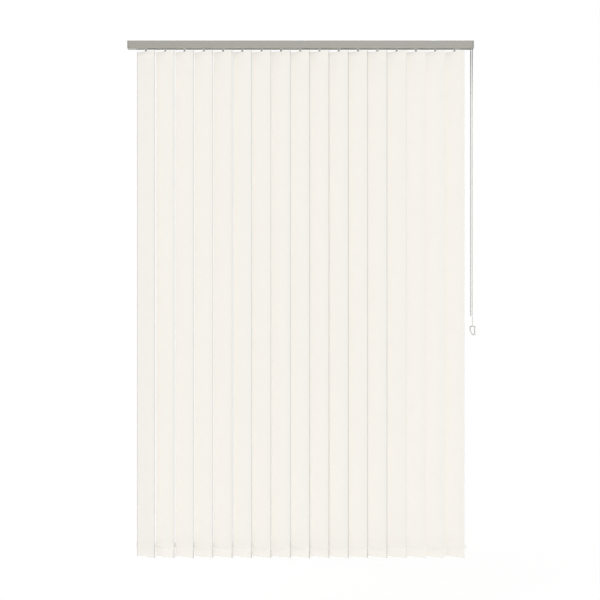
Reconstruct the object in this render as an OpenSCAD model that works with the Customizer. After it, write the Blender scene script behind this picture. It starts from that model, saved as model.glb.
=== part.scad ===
/* [Blind] */
// Overall width of the headrail with its two end caps
rail_width = 1434; // [1426:2:1700]
// Number of vanes, each with its own carrier
vane_count = 17; // [9:1:17]
// Distance from one vane to the next when the blind is drawn
vane_pitch = 80; // [74:1:80]
// Distance from one carrier to the next in the stack
stack_pitch = 15; // [15:0.5:18]
// Angle from the rail to the vanes as they hang at rest
rest_angle = 28; // [24:1:60]
// Shift of the middle of the rail from the middle of the row of vanes
rail_shift = 1.5; // [0:0.5:3]
/* [Headrail] */
// Space between the ceiling and the top of the rail
ceiling_gap = 3; // [2.6:0.2:8]
// Depth of the rail from front to back
rail_depth = 38; // [38:0.5:44]
// Height of the rail
rail_height = 31.5; // [31.5:0.5:38]
// Thickness of the rail's walls
rail_wall = 1.3; // [1:0.1:1.3]
// Width of the slot along the underside
slot_width = 14; // [13.4:0.2:16]
// Depth of the bracket groove in the top
groove_depth = 4; // [4:0.2:5]
// Width of the mouth of the bracket groove
groove_mouth = 24; // [22:0.5:26]
// Radius of the rail's outer edges
rail_round = 1.2; // [0.8:0.1:1.8]
// Height of the rib that keeps the rollers on their track
track_rib = 1.2; // [0.6:0.1:1.4]
// Width of each end cap outside the rail
cap_width = 8.2; // [8:0.1:10]
// Length of the end caps' inserts inside the rail
insert_length = 26; // [24:1:32]
/* [Brackets] */
// Distance between the two outer ceiling clips
bracket_spread = 1100; // [600:10:1200]
// Width of each ceiling clip along the rail
bracket_width = 30; // [20:1:40]
// Thickness of the clips' spring steel
bracket_steel = 0.8; // [0.6:0.1:1]
// Diameter of the screw holes in the clips
screw_hole = 4.6; // [4:0.1:6]
/* [Drives] */
// Outer diameter of the tilt rod
rod_diameter = 6; // [5:0.1:6.2]
// Diameter of the worm over its thread
worm_diameter = 9.2; // [9:0.1:9.6]
// Diameter of the worm wheel over its teeth
worm_wheel_diameter = 7.2; // [7:0.1:7.4]
// Number of teeth on each worm wheel
worm_wheel_teeth = 10; // [8:1:12]
// Diameter of the beads of the tilt chain
bead_diameter = 4.5; // [4:0.1:4.6]
// Distance from one bead to the next
bead_pitch = 6; // [5.8:0.1:6.1]
// Number of pockets on the chain wheel
pocket_count = 7; // [7:1:7]
// Diameter of the pull cord
cord_diameter = 2; // [1.6:0.1:2.1]
// Radius at which the cord runs on its pulleys
pulley_radius = 4; // [4:0.1:4.2]
// Thickness of each cord pulley
pulley_width = 3.6; // [3.2:0.1:3.8]
// Diameter of the pulleys' pins
pin_diameter = 2.4; // [2:0.1:2.6]
/* [Carriers] */
// Length of a carrier along the rail
carrier_length = 14; // [13:0.1:14.2]
// Diameter of the rollers
roller_diameter = 6.2; // [5:0.1:6.4]
// Width of the rollers
roller_width = 4; // [3:0.1:4.4]
// Diameter of the vane stem
stem_diameter = 4.4; // [4:0.1:4.8]
// Thickness of the spacer strips
strip_thickness = 0.35; // [0.3:0.01:0.4]
// Width of the spacer strips
strip_width = 4.6; // [3.6:0.1:4.8]
/* [Vanes] */
// Width of a vane
vane_width = 89; // [86:0.5:92]
// Length of a vane from top fold to bottom fold
vane_length = 2100; // [1400:5:2600]
// Distance from the underside of the rail to the top of the vanes
vane_drop = 9.5; // [9.5:0.5:14]
// Thickness of the cloth
cloth = 0.35; // [0.25:0.01:0.4]
// Height of the top pocket that holds the hanger
top_pocket = 22; // [20:0.5:30]
// Height of the bottom pocket that holds the weight
bottom_pocket = 57; // [50:1:70]
// Thickness of the hanger plate
hanger_thickness = 0.6; // [0.5:0.05:0.7]
// Thickness of the bottom weight
weight_thickness = 1.4; // [1:0.1:1.4]
// Distance from the vane's edge to the link chain's pin
pin_reach = 4; // [4:0.1:5]
// Sag of the link chain between two vanes
link_sag = 9; // [6:0.5:12]
// Diameter of the link chain
link_diameter = 1.2; // [1:0.1:1.4]
/* [Cord weight] */
// Width of the ring that hangs in the pull cord
ring_width = 24; // [22:0.5:28]
// Height of the ring
ring_height = 40; // [36:0.5:50]
// Thickness of the ring's bars
ring_bar = 5; // [4:0.1:5]
/* [Hidden] */
$fn = 48;
// Clearances: between sliding parts, beside flat seats, round turning pins and in the vane's pockets
run_gap = 0.3;
seat_gap = 0.3;
pin_gap = 0.08;
pocket_gap = 0.1;
// Lengths along the rail
cap_right = rail_width / 2 + rail_shift;
cap_left = rail_shift - rail_width / 2;
rail_right = cap_right - cap_width;
rail_left = cap_left + cap_width;
rail_half = rail_depth / 2;
inner_half = rail_half - rail_wall;
slot_half = slot_width / 2;
// Heights, measured down from the ceiling
rail_top = -ceiling_gap;
rail_bottom = rail_top - rail_height;
groove_lip = 1.2;
groove_floor = rail_top - groove_depth;
roof = groove_floor - rail_wall;
track = rail_bottom + rail_wall;
exit_drop = 2;
exit_z = rail_bottom - exit_drop;
// Tilt drive: the rod lies behind the stems, one worm radius and one wheel radius away
rod_radius = rod_diameter / 2;
worm_radius = worm_diameter / 2;
worm_wheel_radius = worm_wheel_diameter / 2;
rod_y = worm_radius + worm_wheel_radius + run_gap;
rod_z = roof - 10.2;
rod_spline_width = 1.2;
rod_spline_depth = 0.7;
rod_bore = rod_radius + run_gap;
chain_radius = pocket_count * bead_pitch / (2 * PI);
bead_radius = bead_diameter / 2;
chain_core = 0.6;
chain_x = cap_right - 9.7;
chain_wheel_width = bead_diameter + 2.4;
chain_flange = chain_radius + 2.1;
pocket_relief = 0.35;
bead_step = 360 / pocket_count;
// Traverse drive: both strands run above the carriers' front half
cord_radius = cord_diameter / 2;
pulley_side_gap = 0.5;
pin_seat = 1.3;
cord_y = pulley_radius + pulley_width / 2 + pulley_side_gap + pin_seat + seat_gap - inner_half;
cord_z = roof - 2.3;
cord_x = cap_right - 5.1;
control_pulley_x = cord_x - pulley_radius;
control_pulley_z = cord_z - pulley_radius;
idler_x = rail_left + 17;
pulley_rim = pulley_radius + 0.9;
pulley_groove = cord_radius + run_gap;
pin_radius = pin_diameter / 2;
pin_end = cord_y + pulley_radius + pulley_width / 2 + pulley_side_gap + pin_seat;
// Carriers
carrier_half = carrier_length / 2;
body_top = roof - 4.9;
body_front = -9;
body_back = rod_y + worm_radius + run_gap + 1.2;
body_low = track + 6;
roller_radius = roller_diameter / 2;
roller_z = track + run_gap + roller_radius;
roller_x = carrier_half - run_gap - roller_radius;
roller_inner = 10.2;
axle_radius = 1.1;
beam_half = 9.6;
boss_radius = slot_half - 1.4;
boss_bottom = rail_bottom - 1.5;
stem_radius = stem_diameter / 2;
stem_bore = stem_radius + 0.15;
chamber_radius = worm_wheel_radius + 1.1;
chamber_floor = rod_z - 5.5;
collar_height = 1.5;
side_wall = 1.4;
strip_levels = 7;
strip_step = strip_thickness + 0.2;
strip_floor = body_top + 0.2;
groove_half = strip_width / 2 + 0.4;
cheek_wall = 1.4;
cheek_top = strip_floor + strip_levels * strip_step + 0.15;
strip_length = vane_pitch + 10;
clamp_half = 4;
// Vanes
vane_top = rail_bottom - vane_drop;
vane_bottom = vane_top - vane_length;
vane_half = vane_width / 2;
hook_top = boss_bottom - run_gap;
hook_width = 7.5;
hook_leg = 0.7;
top_half = hanger_thickness / 2 + pocket_gap + cloth;
hook_gap = top_half + 0.2;
hook_half = hook_gap + hook_leg;
nib_top = vane_top - 5.8;
nib_height = 2.2;
slot_top = nib_top + run_gap;
hanger_slot_half = 5.5;
hanger_slot_height = 4.5;
hanger_inset = 2;
bottom_half = weight_thickness / 2 + pocket_gap + cloth;
weight_inset = 1.5;
weight_half = vane_half - weight_inset;
pocket_line = vane_bottom + bottom_pocket;
pin_u = vane_half + pin_reach;
link_pin_radius = 0.65;
lug_height = 2.4;
lug_top = pocket_line - 2;
lug_gap = 9;
lug_end = pin_u + 1.5;
// Link chains
link_ring_bore = link_pin_radius + run_gap;
link_ring_radius = link_ring_bore + 0.7;
link_ring_height = 3;
link_radius = link_diameter / 2;
link_sides = 12;
link_z = lug_top - lug_height - lug_gap + run_gap + link_ring_height / 2;
link_half_chord = vane_pitch / 2 - link_ring_radius + 0.3;
link_arc_radius = (link_half_chord * link_half_chord + link_sag * link_sag) / (2 * link_sag);
link_arc_angle = asin(link_half_chord / link_arc_radius);
pin_x = pin_u * cos(rest_angle);
pin_y = pin_u * sin(rest_angle);
// Cord weight
bar_radius = ring_bar / 2;
// Routes of the free cords as sideways and downward steps from the middle of their exits
chain_route = [
    [-6.7, 0], [-6.7, -120], [-6.8, -300], [-7, -500], [-7, -700], [-7, -900], [-7.4, -1030],
    [-9, -1080], [-9.6, -1094], [-8.4, -1102], [-5, -1107.6], [0, -1109.2],
    [5, -1107.6], [8.4, -1102], [9.6, -1094], [9, -1080],
    [7.4, -1030], [7, -900], [7, -700], [7, -500], [6.8, -300], [6.7, -120], [6.7, 0]
];
pull_route = [
    [-4, 0], [-4, -150], [-4.1, -400], [-4.2, -650], [-4.1, -900], [-4, -1060], [-4, -1130],
    [-4, -1149], [-2.83, -1151.83], [0, -1153], [2.83, -1151.83], [4, -1149],
    [4, -1130], [4, -1060], [4.1, -900], [4.2, -650], [4.1, -400], [4, -150], [4, 0]
];
ring_z = exit_z - 1149;
rail_grey = [0.66, 0.65, 0.62];
cap_grey = [0.63, 0.62, 0.6];
cloth_cream = [0.96, 0.94, 0.9];
white_plastic = [0.93, 0.93, 0.91];
steel = [0.75, 0.76, 0.77];

function two(i) = i < 10 ? str("0", i) : str(i);
function vane_x(i) = (i - (vane_count + 1) / 2) * vane_pitch;
function mix(a, b, c, d, t) =
    0.5 * ((2 * b) + (c - a) * t + (2 * a - 5 * b + 4 * c - d) * t * t
    + (3 * b - a - 3 * c + d) * t * t * t);
function curve(route, steps) = let (n = len(route)) concat(
    [for (k = [0:n - 2], j = [0:steps - 1])
        mix(route[max(k - 1, 0)], route[k], route[k + 1], route[min(k + 2, n - 1)], j / steps)],
    [route[n - 1]]);
function corner(cx, cy, r, from, to, steps) =
    [for (k = [0:steps]) let (a = from + (to - from) * k / steps) [cx + r * cos(a), cy + r * sin(a)]];

// Lays a front-to-back outline along the rail, from x = 0 for the given length
module along_rail(length) {
    rotate([90, 0, 90]) linear_extrude(height = length) children();
}

// A box between two x, two y and two z values
module block(x0, x1, y0, y1, z0, z1) {
    translate([x0, y0, z0]) cube([x1 - x0, y1 - y0, z1 - z0]);
}

// A round bar along the rail
module bar_x(x0, x1, y, z, r) {
    translate([x0, y, z]) rotate([0, 90, 0]) cylinder(r = r, h = x1 - x0);
}

// A round bar from front to back
module bar_y(x, y0, y1, z, r) {
    translate([x, y0, z]) rotate([-90, 0, 0]) cylinder(r = r, h = y1 - y0);
}

// An upright round bar
module bar_z(x, y, z0, z1, r, sides = $fn) {
    translate([x, y, z0]) cylinder(r = r, h = z1 - z0, $fn = sides);
}

// Part of a round ring about the z axis
module ring_arc(ring_r, r, from, to, sides = $fn) {
    rotate([0, 0, from]) rotate_extrude(angle = to - from) translate([ring_r, 0])
        circle(r = r, $fn = sides);
}

// Tube along a route that lies in a front-to-back plane
module free_tube(path, r) {
    sides = 8;
    n = len(path);
    points = [for (k = [0:n - 1])
        let (before = path[max(k - 1, 0)], after = path[min(k + 1, n - 1)])
        let (way = (after - before) / norm(after - before))
        for (s = [0:sides - 1])
            [r * cos(360 * s / sides),
             path[k][0] + r * sin(360 * s / sides) * -way[1],
             path[k][1] + r * sin(360 * s / sides) * way[0]]];
    walls = [for (k = [0:n - 2], s = [0:sides - 1])
        let (a = k * sides + s, b = k * sides + (s + 1) % sides)
        [a, a + sides, b + sides, b]];
    ends = [[for (s = [0:sides - 1]) s], [for (s = [0:sides - 1]) n * sides - 1 - s]];
    polyhedron(points = points, faces = concat(walls, ends), convexity = 4);
}

// Outline of the rail with rounded outer edges
module rail_outline() {
    r = rail_round;
    polygon(concat(
        corner(rail_half - r, rail_bottom + r, r, -90, 0, 4),
        corner(rail_half - r, rail_top - r, r, 0, 90, 4),
        corner(-rail_half + r, rail_top - r, r, 90, 180, 4),
        corner(-rail_half + r, rail_bottom + r, r, 180, 270, 4)));
}

// Section of the rail: a box with a bracket groove on top and a slot with ribbed tracks below
module rail_section() {
    difference() {
        rail_outline();
        translate([-inner_half, track]) square([2 * inner_half, roof - track]);
        translate([-inner_half, groove_floor])
            square([2 * inner_half, rail_top - groove_lip - groove_floor]);
        translate([-groove_mouth / 2, groove_floor]) square([groove_mouth, groove_depth + 1]);
        translate([-slot_half, rail_bottom - 1]) square([slot_width, rail_wall + 2]);
    }
    for (side = [-1, 1])
        translate([side * (slot_half + 0.4) - 0.4, track - 0.2]) square([0.8, track_rib + 0.2]);
}

module headrail() {
    color(rail_grey)
    difference() {
        translate([rail_left, 0, 0]) along_rail(rail_right - rail_left) rail_section();
        block(chain_x - bead_radius - 3, rail_right + 1, -inner_half, inner_half,
            rail_bottom - 1, track + track_rib + 0.1);
    }
}

// Spring clips that hook under the lips of the rail's groove and screw to the ceiling
module clip_section() {
    arm = groove_mouth / 2 - 0.6;
    foot = min(inner_half - 0.6, arm + 4.2);
    foot_z = rail_top - groove_lip - run_gap;
    translate([-arm, -bracket_steel]) square([2 * arm, bracket_steel]);
    for (side = [0, 1]) mirror([side, 0]) {
        translate([arm - bracket_steel, foot_z - bracket_steel])
            square([bracket_steel, bracket_steel - foot_z]);
        translate([arm - bracket_steel, foot_z - bracket_steel])
            square([foot - arm + bracket_steel, bracket_steel]);
    }
}

module ceiling_clips() {
    color(steel)
    for (k = [-1:1])
        translate([k * bracket_spread / 2, 0, 0])
        difference() {
            translate([-bracket_width / 2, 0, 0]) along_rail(bracket_width) clip_section();
            bar_z(0, 0, -bracket_steel - 1, 1, screw_hole / 2);
        }
}

// Body of an end cap: the outer cover and an insert that fills the rail's inside
module cap_body(cover_at, insert_at) {
    translate([cover_at, 0, 0]) along_rail(cap_width) rail_outline();
    block(insert_at, insert_at + insert_length + 0.1, -inner_half + seat_gap, inner_half - seat_gap,
        track + track_rib + seat_gap, roof - seat_gap);
}

module left_end_cap() {
    shelf = cord_z - pulley_width / 2 - run_gap;
    color(cap_grey)
    difference() {
        union() {
            cap_body(cap_left, rail_left - 0.1);
            block(rail_left - 0.1, rail_left + insert_length, -slot_half + 0.4, slot_half - 0.4,
                rail_bottom + 0.4, track + track_rib + 1);
        }
        // Open bay of the idler pulley and the cord
        block(rail_left + 4, rail_left + insert_length + 1, -inner_half - 1,
            cord_y + pulley_rim + 2, shelf, roof + 1);
        bar_z(idler_x, cord_y, shelf - 6, shelf + 1, pin_radius + 0.02);
        // Bearing of the tilt rod, and hollows that leave even walls
        bar_x(rail_left + 3, rail_left + insert_length + 1, rod_y, rod_z, rod_radius + pin_gap);
        block(rail_left + 10, rail_left + insert_length - 3, 1.5, inner_half + 1,
            rod_z - 8, roof + 1);
        block(rail_left + 3, rail_left + insert_length - 3, -inner_half - 1, -slot_half - 2,
            track, shelf - 7.5);
    }
}

module control_end_cap() {
    color(cap_grey)
    difference() {
        union() {
            cap_body(rail_right, rail_right - insert_length);
            block(chain_x - bead_radius - 2.7, rail_right + 0.1, -inner_half + seat_gap,
                inner_half - seat_gap, rail_bottom, track + track_rib + 1);
        }
        // Chamber of the chain wheel with the two ways down for the chain
        bar_x(chain_x - chain_wheel_width / 2 - run_gap, chain_x + chain_wheel_width / 2 + run_gap,
            rod_y, rod_z, chain_flange + run_gap);
        bar_x(rail_right - insert_length - 1, cap_right - 2, rod_y, rod_z, rod_radius + pin_gap);
        for (side = [-1, 1]) {
            bar_z(chain_x, rod_y + side * chain_radius, rail_bottom - 2, rod_z,
                bead_radius + run_gap);
            // Chambers of the cord pulleys, their pin holes and the cord's ways in and down
            block(control_pulley_x - pulley_rim - run_gap, cord_x + cord_radius + run_gap,
                cord_y + side * pulley_radius - pulley_width / 2 - pulley_side_gap,
                cord_y + side * pulley_radius + pulley_width / 2 + pulley_side_gap,
                control_pulley_z - pulley_rim - run_gap, cord_z + cord_radius + run_gap);
            bar_z(cord_x, cord_y + side * pulley_radius, rail_bottom - 2, control_pulley_z,
                cord_radius + run_gap);
            bar_x(rail_right - insert_length - 1, control_pulley_x,
                cord_y + side * pulley_radius, cord_z, cord_radius + run_gap);
        }
        bar_y(control_pulley_x, seat_gap - inner_half - 0.1, pin_end + 0.2, control_pulley_z,
            pin_radius + 0.02);
        // Hollows under the insert that leave even walls
        block(rail_right - insert_length + 2, chain_x - chain_wheel_width / 2 - 2,
            -inner_half - 1, rod_y - rod_radius - 3, track, cord_z - 4);
        // Small round dimple in the front of the cover
        bar_y(cap_right - 6.3, -rail_half - 1, -rail_half + 1, rail_bottom + 6.5, 1.1);
    }
}

// Moulded stop that sits on the tracks beside the last carrier
module end_stop() {
    at = vane_x(vane_count) + carrier_half + 1;
    color(white_plastic)
    union() {
        block(at, at + 12, -inner_half + 2, inner_half - 2, track + track_rib + seat_gap, track + 6);
        block(at, at + 12, -slot_half + 0.4, slot_half - 0.4, rail_bottom + 0.4, track + 3);
        for (side = [-1, 1])
            block(at + 3, at + 9, side * 11 - 1, side * 11 + 1, track + 5, rod_z - 5);
    }
}

module tilt_rod() {
    start = rail_left + 3.5;
    color(steel)
    translate([start, rod_y, rod_z]) along_rail(cap_right - 3 - start)
    difference() {
        circle(r = rod_radius);
        for (k = [0:2])
            rotate(120 * k) translate([rod_radius - rod_spline_depth, -rod_spline_width / 2])
                square([rod_spline_depth + 1, rod_spline_width]);
    }
}

// A wheel with a round-bottomed groove
module grooved_wheel(bore, rim, groove_at, groove_r, width) {
    rotate_extrude() difference() {
        translate([bore, -width / 2]) square([rim - bore, width]);
        translate([groove_at, 0]) circle(r = groove_r);
        translate([groove_at, -groove_r]) square([rim, 2 * groove_r]);
    }
}

module chain_wheel() {
    groove_r = bead_radius + run_gap;
    color(white_plastic)
    translate([chain_x, rod_y, rod_z]) rotate([0, 90, 0])
    difference() {
        rotate_extrude() difference() {
            translate([rod_radius + 0.04, -chain_wheel_width / 2])
                square([chain_flange - rod_radius - 0.04, chain_wheel_width]);
            translate([chain_radius - groove_r, -groove_r]) square([chain_radius, 2 * groove_r]);
        }
        for (k = [0:pocket_count - 1])
            rotate([0, 0, k * bead_step]) translate([chain_radius, 0, 0])
                sphere(r = groove_r + pocket_relief);
    }
}

// The chain over its wheel and down through the end cap
module wheel_chain() {
    rest_turn = bead_step / 4;
    straight_first = bead_pitch - chain_radius * rest_turn * PI / 180;
    color(white_plastic)
    translate([chain_x, rod_y, rod_z]) {
        rotate([90, 0, 90]) ring_arc(chain_radius, chain_core, 0, 180);
        for (k = [0:3])
            rotate([rest_turn + k * bead_step, 0, 0]) translate([0, chain_radius, 0])
                sphere(r = bead_radius);
        for (side = [-1, 1]) {
            translate([0, side * chain_radius, exit_z - rod_z]) cylinder(r = chain_core, h = rod_z - exit_z);
            for (k = [0:1])
                translate([0, side * chain_radius, -straight_first - k * bead_pitch])
                    sphere(r = bead_radius);
        }
    }
}

module tilt_chain() {
    color(white_plastic)
    translate([chain_x, rod_y, exit_z]) free_tube(curve(chain_route, 2), bead_radius);
}

// The cord in the rail: out from the control end, round the idler and back
module traverse_cord() {
    color(white_plastic) {
        translate([idler_x, cord_y, cord_z]) ring_arc(pulley_radius, cord_radius, 90, 270);
        for (side = [-1, 1]) {
            y = cord_y + side * pulley_radius;
            bar_x(idler_x, control_pulley_x, y, cord_z, cord_radius);
            translate([control_pulley_x, y, control_pulley_z]) rotate([90, 0, 0])
                ring_arc(pulley_radius, cord_radius, 0, 90);
            bar_z(cord_x, y, exit_z, control_pulley_z, cord_radius);
        }
    }
}

module pull_cord() {
    color(white_plastic)
    translate([cord_x, cord_y, exit_z]) free_tube(curve(pull_route, 2), cord_radius);
}

// Direction of the outward normal of the straight side between two rounded corners
function side_normal(a, b) =
    let (way = [b[0] - a[0], b[1] - a[1]])
    atan2(way[1], way[0]) - acos((a[2] - b[2]) / norm(way));

// Outline with flat top, straight right side and slanted lower left: corners as [x, z, radius]
module shield(left_top, left_low, foot, right_low, right_top) {
    slant = side_normal(left_low, foot) + 360;
    polygon(concat(
        corner(right_top[0], right_top[1], right_top[2], 0, 90, 5),
        corner(left_top[0], left_top[1], left_top[2], 90, 180, 5),
        corner(left_low[0], left_low[1], left_low[2], 180, slant, 3),
        corner(foot[0], foot[1], foot[2], slant, 270, 5),
        corner(right_low[0], right_low[1], right_low[2], 270, 360, 6)));
}

// Ring that hangs on the cord by its round top bar
module cord_weight() {
    half = ring_width / 2;
    low = bar_radius - ring_height;
    inner = half - ring_bar;
    color(white_plastic)
    translate([cord_x, cord_y, ring_z]) {
        difference() {
            translate([0, bar_radius, 0]) rotate([90, 0, 0]) linear_extrude(height = ring_bar)
            difference() {
                shield([5 - half, bar_radius - 5, 5], [5 - half, -17, 5], [2, low + 6, 6],
                    [half - 6, low + 6, 6], [half - 4, bar_radius - 4, 4]);
                shield([1.5 - inner, -bar_radius - 1.5, 1.5], [2 - inner, -16.5, 2],
                    [2, low + ring_bar + 2, 1.5], [inner - 2, low + ring_bar + 2, 1.5],
                    [inner - 1.5, -bar_radius - 1.5, 1.5]);
            }
            block(-inner, inner, -ring_bar, ring_bar, -bar_radius - 3.2, bar_radius + 1);
        }
        bar_x(-inner - 1, inner + 1, 0, 0, bar_radius);
    }
}

// A cord pulley about an upright axis
module cord_pulley() {
    grooved_wheel(pin_radius + pin_gap, pulley_rim, pulley_radius, pulley_groove, pulley_width);
}

module front_cord_pulley() {
    color(white_plastic)
    translate([control_pulley_x, cord_y - pulley_radius, control_pulley_z])
        rotate([90, 0, 0]) cord_pulley();
}

module rear_cord_pulley() {
    color(white_plastic)
    translate([control_pulley_x, cord_y + pulley_radius, control_pulley_z])
        rotate([90, 0, 0]) cord_pulley();
}

module idler_pulley() {
    color(white_plastic) translate([idler_x, cord_y, cord_z]) cord_pulley();
}

module pulley_pins() {
    color(steel) {
        bar_y(control_pulley_x, seat_gap - inner_half + 0.2, pin_end, control_pulley_z, pin_radius);
        bar_z(idler_x, cord_y, cord_z - pulley_width / 2 - run_gap - 5.8,
            cord_z + pulley_width / 2 + run_gap, pin_radius);
    }
}

// Threaded worm sleeve round the tilt rod
module worm() {
    root = worm_radius - 0.7;
    end = carrier_half - side_wall + 0.1;
    ridges = [for (k = [-1.5:1:1.5]) each
        [[root, 2.6 * k - 0.9], [worm_radius, 2.6 * k - 0.3], [worm_radius, 2.6 * k + 0.3],
         [root, 2.6 * k + 0.9]]];
    translate([0, rod_y, rod_z]) rotate([0, 90, 0]) rotate_extrude()
        polygon(concat([[rod_bore + 0.1, -end], [root, -end]], ridges,
            [[root, end], [rod_bore + 0.1, end]]));
}

// Outline of the carrier's housing from front to back
module carrier_outline() {
    polygon([[body_front, body_low + 2], [body_front + 2, body_low], [body_back - 3, body_low],
        [body_back, body_low + 4], [body_back, body_top - 3], [body_back - 2.5, body_top],
        [body_front + 1.5, body_top], [body_front, body_top - 1.5]]);
}

module carrier_housing() {
    inside = carrier_half - side_wall;
    difference() {
        union() {
            translate([-carrier_half, 0, 0]) along_rail(carrier_length) carrier_outline();
            block(-roller_x - 1.6, roller_x + 1.6, -beam_half, beam_half,
                track + track_rib + 0.4, body_low + 0.1);
            bar_z(0, 0, boss_bottom, body_low + 0.1, boss_radius);
            for (side = [-1, 1]) {
                cheek = [side * groove_half, side * (groove_half + cheek_wall)];
                block(-carrier_half, carrier_half, min(cheek), max(cheek), body_top - 0.1, cheek_top);
                for (x = [-roller_x, roller_x]) {
                    hub = [side * roller_inner, side * (roller_inner + roller_width)];
                    bar_y(x, min(hub), max(hub), roller_z, roller_radius);
                    bar_y(x, min(0, side * (roller_inner + 0.1)), max(0, side * (roller_inner + 0.1)),
                        roller_z, axle_radius);
                }
            }
        }
        // Bore of the stem and chamber of its worm wheel
        bar_z(0, 0, boss_bottom - 1, chamber_floor + 1, stem_bore);
        bar_z(0, 0, chamber_floor, body_top + 0.05, chamber_radius);
        // Tunnel of the worm, open above, and the rod's way through the side walls
        bar_x(-inside, inside, rod_y, rod_z, worm_radius + 0.4);
        block(-inside, inside, rod_y - 3.6, rod_y + 3, rod_z, body_top + 1);
        bar_x(-carrier_half - 1, carrier_half + 1, rod_y, rod_z, rod_bore);
    }
    worm();
}

// Strip that keeps the next carrier to the left at its pitch and slides through those in the stack
module spacer_strip(level) {
    z = strip_floor + level * strip_step;
    half = strip_width / 2;
    grip = groove_half + 0.6;
    translate([0, 0, z]) linear_extrude(height = strip_thickness)
        polygon([[-strip_length, -half + 1.2], [-strip_length + 1.2, -half], [3, -half], [3, -grip],
            [6, -grip], [6, grip], [3, grip], [3, half], [-strip_length + 1.2, half],
            [-strip_length, half - 1.2]]);
}

// Arm of the first carrier that grips the front strand of the cord
module cord_clamp() {
    y = cord_y - pulley_radius;
    difference() {
        union() {
            block(-clamp_half, clamp_half, y - 1.9, body_front + 0.5, body_top - 2, body_top);
            block(-clamp_half, clamp_half, y - 1.9, y + 1.9, body_top - 1, roof - run_gap);
        }
        bar_x(-clamp_half - 1, clamp_half + 1, y, cord_z, cord_radius + run_gap);
    }
}

module carrier(i) {
    color(white_plastic)
    translate([vane_x(i), 0, 0]) {
        carrier_housing();
        if (i > 1) spacer_strip(i % strip_levels);
        if (i == 1) cord_clamp();
    }
}

module worm_wheel_outline() {
    step = 360 / worm_wheel_teeth;
    polygon([for (k = [0:worm_wheel_teeth - 1]) each
        [for (p = [[-0.3, 0.9], [-0.16, 0], [0.16, 0], [0.3, 0.9]])
            let (a = (k + p[0]) * step, r = worm_wheel_radius - p[1]) [r * cos(a), r * sin(a)]]]);
}

// Stem with its worm wheel, retaining collar and forked hook
module vane_hook() {
    collar = chamber_floor + seat_gap;
    fork = vane_top + run_gap;
    nib_end = hook_gap - 0.2;
    nib_low = nib_top - nib_height;
    short_leg = vane_top - 1.2;
    bar_z(0, 0, hook_top - 0.1, rod_z + 3.8, stem_radius);
    bar_z(0, 0, collar, collar + collar_height, chamber_radius - 0.4);
    translate([0, 0, collar + collar_height - 0.1])
        linear_extrude(height = rod_z + 3 - collar - collar_height + 0.1) worm_wheel_outline();
    translate([-hook_width / 2, 0, 0]) along_rail(hook_width) polygon([
        [hook_half - 0.5, hook_top], [hook_half, hook_top - 1.5], [hook_half, nib_low - 4],
        [hook_gap + 0.3, nib_low - 5], [hook_gap, nib_low - 4], [hook_gap, fork],
        [-hook_gap, fork], [-hook_gap, short_leg], [-hook_half, short_leg],
        [-hook_half, hook_top - 1.5], [0.5 - hook_half, hook_top]]);
    translate([-2.2, 0, 0]) along_rail(4.4) polygon([
        [hook_gap + 0.1, nib_top], [-nib_end, nib_top], [-nib_end, nib_top - 0.7],
        [hook_gap + 0.1, nib_low]]);
}

// Stands an upright outline across the vane's thickness
module upright(thickness) {
    translate([0, thickness / 2, 0]) rotate([90, 0, 0]) linear_extrude(height = thickness) children();
}

module hanger() {
    half = vane_half - hanger_inset;
    top = vane_top - 1;
    low = vane_top - top_pocket + 2;
    upright(hanger_thickness) difference() {
        polygon([[-half, low + 3], [-half + 3, low], [half - 3, low], [half, low + 3],
            [half, top - 1.5], [half - 1.5, top], [-half + 1.5, top], [-half, top - 1.5]]);
        translate([-hanger_slot_half, slot_top - hanger_slot_height])
            square([2 * hanger_slot_half, hanger_slot_height]);
    }
}

// Section of the cloth: one layer with a folded and welded pocket at each end
module cloth_section() {
    low_fold = vane_bottom + bottom_half;
    difference() {
        union() {
            polygon(concat(corner(0, vane_top - top_half, top_half, 0, 180, 6),
                [[-top_half, vane_top - top_pocket + 1], [-cloth / 2, vane_top - top_pocket],
                 [cloth / 2, vane_top - top_pocket], [top_half, vane_top - top_pocket + 1]]));
            translate([-cloth / 2, pocket_line - 1]) square([cloth, vane_top - top_pocket - pocket_line + 2]);
            polygon(concat(corner(0, low_fold, bottom_half, 180, 360, 6),
                [[bottom_half, pocket_line - 1.2], [cloth / 2, pocket_line],
                 [-cloth / 2, pocket_line], [-bottom_half, pocket_line - 1.2]]));
        }
        polygon(concat(corner(0, vane_top - top_half, top_half - cloth, 0, 180, 6),
            [[cloth - top_half, vane_top - top_pocket + 1.6], [top_half - cloth, vane_top - top_pocket + 1.6]]));
        polygon(concat(corner(0, low_fold, bottom_half - cloth, 180, 360, 6),
            [[bottom_half - cloth, pocket_line - 1.6], [cloth - bottom_half, pocket_line - 1.6]]));
    }
}

module vane_cloth() {
    difference() {
        translate([-vane_half, 0, 0]) along_rail(vane_width) cloth_section();
        block(-hanger_slot_half - 0.3, hanger_slot_half + 0.3, -top_half - 1, top_half + 1,
            slot_top - hanger_slot_height - 0.3, slot_top + 0.3);
    }
}

// Weight in the bottom pocket, with an upright pin beside each edge for the link chains
module bottom_weight() {
    low = vane_bottom + 1.5;
    upright(weight_thickness) {
        polygon([[-weight_half, low + 4], [-weight_half + 4, low], [weight_half - 4, low],
            [weight_half, low + 4], [weight_half, lug_top], [-weight_half, lug_top]]);
        for (side = [0, 1], drop = [0, lug_height + lug_gap])
            mirror([side, 0]) translate([weight_half - 1, lug_top - lug_height - drop])
                square([lug_end - weight_half + 1, lug_height]);
    }
    for (side = [-1, 1])
        bar_z(side * pin_u, 0, lug_top - lug_height - lug_gap - 0.1, lug_top - lug_height + 0.1,
            link_pin_radius);
}

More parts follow.
